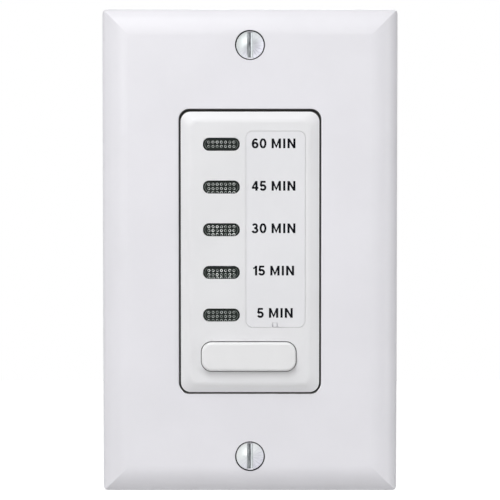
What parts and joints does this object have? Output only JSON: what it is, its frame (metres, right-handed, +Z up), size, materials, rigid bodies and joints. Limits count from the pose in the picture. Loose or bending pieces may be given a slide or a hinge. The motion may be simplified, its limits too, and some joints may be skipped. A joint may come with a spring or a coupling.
{
  "type": "timer light switch",
  "caption": "One-gang countdown timer light switch with a screwed wall plate, smoked time windows, a label insert and a push button.",
  "frame": {"origin": "midway between the two box screws, on the wall surface that the plate's rim rests on", "axes": "+X to the right, +Y into the wall, +Z up; the front faces -Y"},
  "size_m": [0.0698, 0.0382, 0.1142],
  "materials": {
    "plate_plastic": "satin",
    "face_plastic": "satin",
    "label_plastic": "satin",
    "button_plastic": "satin",
    "smoked_lens": "gloss",
    "screw_nickel": "satin",
    "strap_zinc": "satin",
    "screw_zinc": "satin",
    "fibre": "matte",
    "earth_green": "satin",
    "housing_black": "matte",
    "light_box_white": "matte",
    "board_green": "satin",
    "switch_black": "matte",
    "sheet_steel": "satin",
    "relay_plastic": "satin",
    "relay_iron": "satin",
    "bobbin_white": "matte",
    "copper_wire": "satin",
    "contact_brass": "satin",
    "capacitor_yellow": "satin",
    "capacitor_sleeve": "satin",
    "varistor_blue": "satin",
    "resistor_grey": "matte",
    "component_black": "matte",
    "lamp_clear": "gloss"
  },
  "bodies": {
    "timer": {"wall_plate": "plate_plastic", "plate_screws": "screw_nickel", "front_housing": "face_plastic", "mounting_strap": "strap_zinc", "box_screws": "screw_zinc", "screw_retainers": "fibre", "ground_screw": "earth_green", "rear_housing": "housing_black", "housing_screws": "screw_zinc", "light_box": "light_box_white", "circuit_board": "board_green", "tact_switch_base": "switch_black", "tact_switch_cover": "sheet_steel", "tact_switch_dome": "sheet_steel", "relay_base": "relay_plastic", "relay_cover": "relay_plastic", "relay_yoke": "relay_iron", "relay_bobbin": "bobbin_white", "relay_winding": "copper_wire", "relay_fixed_contact": "contact_brass", "film_capacitor": "capacitor_yellow", "main_electrolytic": "capacitor_sleeve", "small_electrolytic": "capacitor_sleeve", "varistor": "varistor_blue", "power_resistor": "resistor_grey", "rectifier_diodes": "component_black", "microcontroller": "component_black", "crystal": "sheet_steel", "lens_60_min": "smoked_lens", "led_60_min": "lamp_clear", "lens_45_min": "smoked_lens", "led_45_min": "lamp_clear", "lens_30_min": "smoked_lens", "led_30_min": "lamp_clear", "lens_15_min": "smoked_lens", "led_15_min": "lamp_clear", "lens_5_min": "smoked_lens", "led_5_min": "lamp_clear"},
    "button": {"push_button": "button_plastic"},
    "plunger": {"tact_switch_plunger": "switch_black"},
    "label": {"label_insert": "label_plastic"},
    "armature": {"relay_armature": "relay_iron", "relay_moving_spring": "contact_brass"}
  },
  "joints": [
    {"name": "button_press", "type": "slide", "parent": "timer", "child": "button", "axis": [0, 1, 0], "range_m": [0, 0.0005], "stiffness_N_per_m": 1500, "springref_m": -0.0002},
    {"name": "plunger_press", "type": "slide", "parent": "timer", "child": "plunger", "axis": [0, 1, 0], "range_m": [0, 0.0005], "deforming": ["tact_switch_dome"]},
    {"name": "label_pull", "type": "slide", "parent": "timer", "child": "label", "axis": [0, -1, 0], "range_m": [0, 0.004]},
    {"name": "armature_pull", "type": "hinge", "parent": "timer", "child": "armature", "pos_m": [0.01126, 0.0171, 0.00083], "axis": [1, 0, 0], "range_deg": [0, 3.8], "stiffness_Nm_per_rad": 0.02, "springref_deg": -2.86}
  ],
  "couplings": [
    {"joint": "plunger_press", "follows": "button_press", "ratio": 1}
  ]
}
